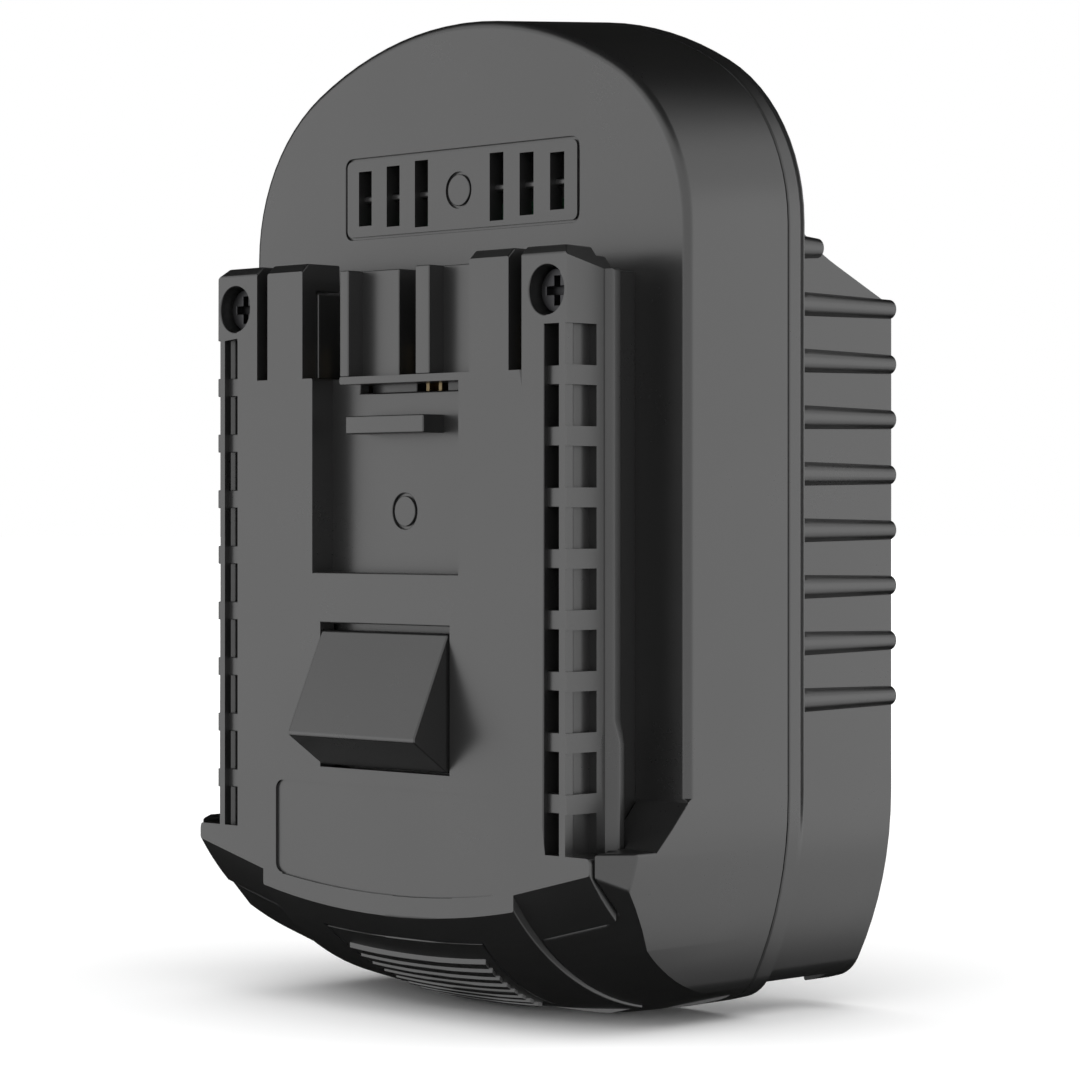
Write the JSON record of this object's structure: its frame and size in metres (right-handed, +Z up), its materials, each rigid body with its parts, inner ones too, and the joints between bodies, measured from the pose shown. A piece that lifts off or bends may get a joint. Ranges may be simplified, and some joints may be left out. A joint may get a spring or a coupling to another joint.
{
  "type": "tool battery adapter",
  "caption": "Upright plastic adapter with a slide plate, sprung latch and release button for a tool on its front, and a slide-in receiver for a battery on its ribbed back.",
  "frame": {"origin": "on the floor, under the middle of the bounding box", "axes": "+X to the right seen from the tool side, +Y from the tool side to the battery side, +Z up"},
  "size_m": [0.0768, 0.056, 0.1233],
  "materials": {
    "housing": "smooth satin, moulded",
    "inner_plastic": "matte moulded",
    "contact": "dull strip",
    "steel": "black zinc",
    "board": "solder mask",
    "capacitor_can": "sleeve"
  },
  "bodies": {
    "housing": {"front_shell": "housing", "rear_shell": "housing", "rail_plate": "housing", "contact_carrier": "housing", "tool_contact_positive": "contact", "tool_contact_negative": "contact", "signal_contacts": "contact", "latch_springs": "steel", "spring_bridge": "inner_plastic", "circuit_board": "board", "power_transistors": "inner_plastic", "capacitor": "capacitor_can", "battery_terminal_block": "inner_plastic", "battery_blade_positive": "contact", "battery_blade_negative": "contact", "battery_signal_blades": "contact", "plate_screws": "steel", "plate_rear_screws": "steel", "bridge_screws": "steel", "board_screws": "steel", "housing_screws": "steel"},
    "latch_slider": {"latch": "housing", "latch_pin": "steel"},
    "button": {"release_button": "housing"}
  },
  "joints": [
    {"name": "latch_slide", "type": "slide", "parent": "housing", "child": "latch_slider", "axis": [0, 1, 0], "range_m": [0, 0.0055], "stiffness_N_per_m": 500, "springref_m": -0.004, "deforming": ["latch_springs"]},
    {"name": "button_press", "type": "slide", "parent": "housing", "child": "button", "axis": [0, 0.5, 0.866], "range_m": [0, 0.003]}
  ],
  "couplings": [
    {"joint": "button_press", "follows": "latch_slide", "ratio": 0.54545}
  ]
}
